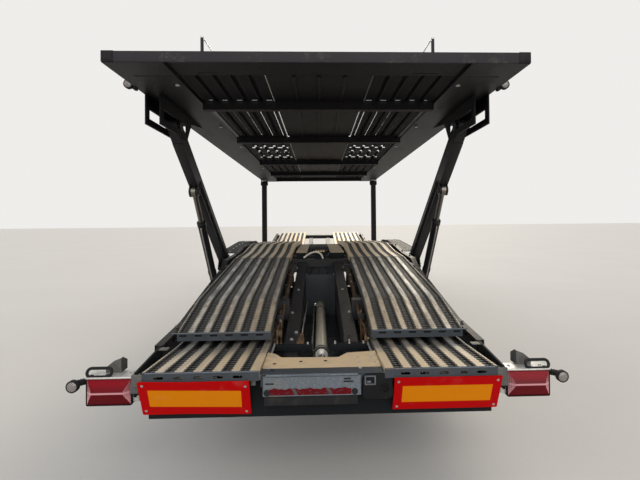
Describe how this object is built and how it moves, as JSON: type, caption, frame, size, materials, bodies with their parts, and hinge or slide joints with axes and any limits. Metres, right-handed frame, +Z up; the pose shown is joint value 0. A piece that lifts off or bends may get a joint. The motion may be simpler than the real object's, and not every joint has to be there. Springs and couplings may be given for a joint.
{
  "type": "two-deck car transporter trailer",
  "caption": "Centre-axle drawbar trailer for carrying cars on a ribbed lower deck and a tilting upper deck held by hydraulic lifting arms, with a sliding rear extension",
  "frame": {"origin": "on the ground, at the centre of the overall length and width", "axes": "+Z up, +Y forward towards the towing eye, +X to the trailer's right"},
  "size_m": [2.701, 10.9, 3.4],
  "materials": {
    "chassis_steel": "worn dark paint over steel",
    "galvanised_track": "galvanised, worn bright on the ribs",
    "rear_galvanised": "dull galvanised sheet",
    "deck_steel": "dark paint, weathered",
    "rail_steel": "galvanised",
    "rod_chrome": "polished",
    "barrel_metal": "bright metal",
    "suspension_black": "black, dusty",
    "tyre_rubber": "matt black rubber",
    "rim_metal": "silver paint, dusty",
    "lamp_red": "clear red lens",
    "plate_red": "retroreflective sheet, red border",
    "black_rubber": "matt black",
    "cast_eye": "bare casting"
  },
  "bodies": {
    "chassis": {"axle_front": "chassis_steel", "axle_rear": "chassis_steel", "centre_pan": "chassis_steel", "drawbar": "chassis_steel", "extension_barrel": "barrel_metal", "front_post_left": "chassis_steel", "front_post_right": "chassis_steel", "front_track_left": "galvanised_track", "front_track_right": "galvanised_track", "hump_track_left": "galvanised_track", "hump_track_right": "galvanised_track", "incline_track_left": "galvanised_track", "incline_track_right": "galvanised_track", "main_rails": "chassis_steel", "mudguard_left": "suspension_black", "mudguard_right": "suspension_black", "outriggers": "chassis_steel", "side_frame_left": "chassis_steel", "side_frame_right": "chassis_steel", "support_leg": "chassis_steel", "suspension_left": "suspension_black", "suspension_right": "suspension_black", "towing_eye": "cast_eye", "valve_block": "barrel_metal"},
    "rear_extension": {"rear_track_left": "galvanised_track", "rear_track_right": "galvanised_track", "rear_frame": "rear_galvanised", "rear_cover": "rear_galvanised", "tape_plate": "rear_galvanised", "socket_panel": "black_rubber", "marking_plate_left": "plate_red", "marking_plate_right": "plate_red", "tail_lamp_left": "lamp_red", "tail_lamp_right": "lamp_red", "lamp_handles": "black_rubber", "marker_lamps": "black_rubber", "extension_rod": "rod_chrome"},
    "upper_deck": {"deck_sides": "deck_steel", "deck_crossmembers": "deck_steel", "upper_track_left": "deck_steel", "upper_track_right": "deck_steel", "upper_infill": "deck_steel", "guard_posts": "rail_steel", "guard_ropes": "rail_steel", "work_lamps": "black_rubber"},
    "wheel_rear_left": {"tyres_rear_left": "tyre_rubber", "rims_rear_left": "rim_metal"},
    "wheel_rear_right": {"tyres_rear_right": "tyre_rubber", "rims_rear_right": "rim_metal"},
    "wheel_front_left": {"tyres_front_left": "tyre_rubber", "rims_front_left": "rim_metal"},
    "wheel_front_right": {"tyres_front_right": "tyre_rubber", "rims_front_right": "rim_metal"},
    "arm_left": {"lift_arm_left": "deck_steel"},
    "barrel_left": {"cylinder_barrel_left": "deck_steel"},
    "rod_left": {"cylinder_rod_left": "rod_chrome"},
    "arm_right": {"lift_arm_right": "deck_steel"},
    "barrel_right": {"cylinder_barrel_right": "deck_steel"},
    "rod_right": {"cylinder_rod_right": "rod_chrome"}
  },
  "joints": [
    {"name": "upper_deck_tilt", "type": "hinge", "parent": "chassis", "child": "upper_deck", "pos_m": [0, 2.45, 2.29], "axis": [-1, 0, 0], "range_deg": [-8, 1.5]},
    {"name": "arm_left_swing", "type": "hinge", "parent": "chassis", "child": "arm_left", "pos_m": [-1.1775, -1.95, 1.03], "axis": [-1, 0, 0], "range_deg": [-24.58, 4.69]},
    {"name": "cylinder_left_swing", "type": "hinge", "parent": "chassis", "child": "barrel_left", "pos_m": [-1.1775, -2.4, 0.7], "axis": [-1, 0, 0], "range_deg": [-27.46, 5.23]},
    {"name": "cylinder_left_stroke", "type": "slide", "parent": "barrel_left", "child": "rod_left", "axis": [0, -0.6699, 0.7425], "range_m": [-0.2244, 0.0429]},
    {"name": "arm_right_swing", "type": "hinge", "parent": "chassis", "child": "arm_right", "pos_m": [1.1775, -1.95, 1.03], "axis": [-1, 0, 0], "range_deg": [-24.58, 4.69]},
    {"name": "cylinder_right_swing", "type": "hinge", "parent": "chassis", "child": "barrel_right", "pos_m": [1.1775, -2.4, 0.7], "axis": [-1, 0, 0], "range_deg": [-27.46, 5.23]},
    {"name": "cylinder_right_stroke", "type": "slide", "parent": "barrel_right", "child": "rod_right", "axis": [0, -0.6699, 0.7425], "range_m": [-0.2244, 0.0429]},
    {"name": "rear_extension_slide", "type": "slide", "parent": "chassis", "child": "rear_extension", "axis": [0, -1, 0], "range_m": [0, 1.1]},
    {"name": "wheel_rear_left_spin", "type": "hinge", "parent": "chassis", "child": "wheel_rear_left", "pos_m": [-1, -1.7, 0.3945], "axis": [1, 0, 0], "continuous": true},
    {"name": "wheel_rear_right_spin", "type": "hinge", "parent": "chassis", "child": "wheel_rear_right", "pos_m": [1, -1.7, 0.3945], "axis": [1, 0, 0], "continuous": true},
    {"name": "wheel_front_left_spin", "type": "hinge", "parent": "chassis", "child": "wheel_front_left", "pos_m": [-1, -0.39, 0.3945], "axis": [1, 0, 0], "continuous": true},
    {"name": "wheel_front_right_spin", "type": "hinge", "parent": "chassis", "child": "wheel_front_right", "pos_m": [1, -0.39, 0.3945], "axis": [1, 0, 0], "continuous": true}
  ],
  "couplings": [
    {"joint": "arm_left_swing", "follows": "upper_deck_tilt", "ratio": 3.06},
    {"joint": "cylinder_left_swing", "follows": "upper_deck_tilt", "ratio": 3.42},
    {"joint": "cylinder_left_stroke", "follows": "upper_deck_tilt", "m_per_rad": 1.6},
    {"joint": "arm_right_swing", "follows": "upper_deck_tilt", "ratio": 3.06},
    {"joint": "cylinder_right_swing", "follows": "upper_deck_tilt", "ratio": 3.42},
    {"joint": "cylinder_right_stroke", "follows": "upper_deck_tilt", "m_per_rad": 1.6}
  ]
}
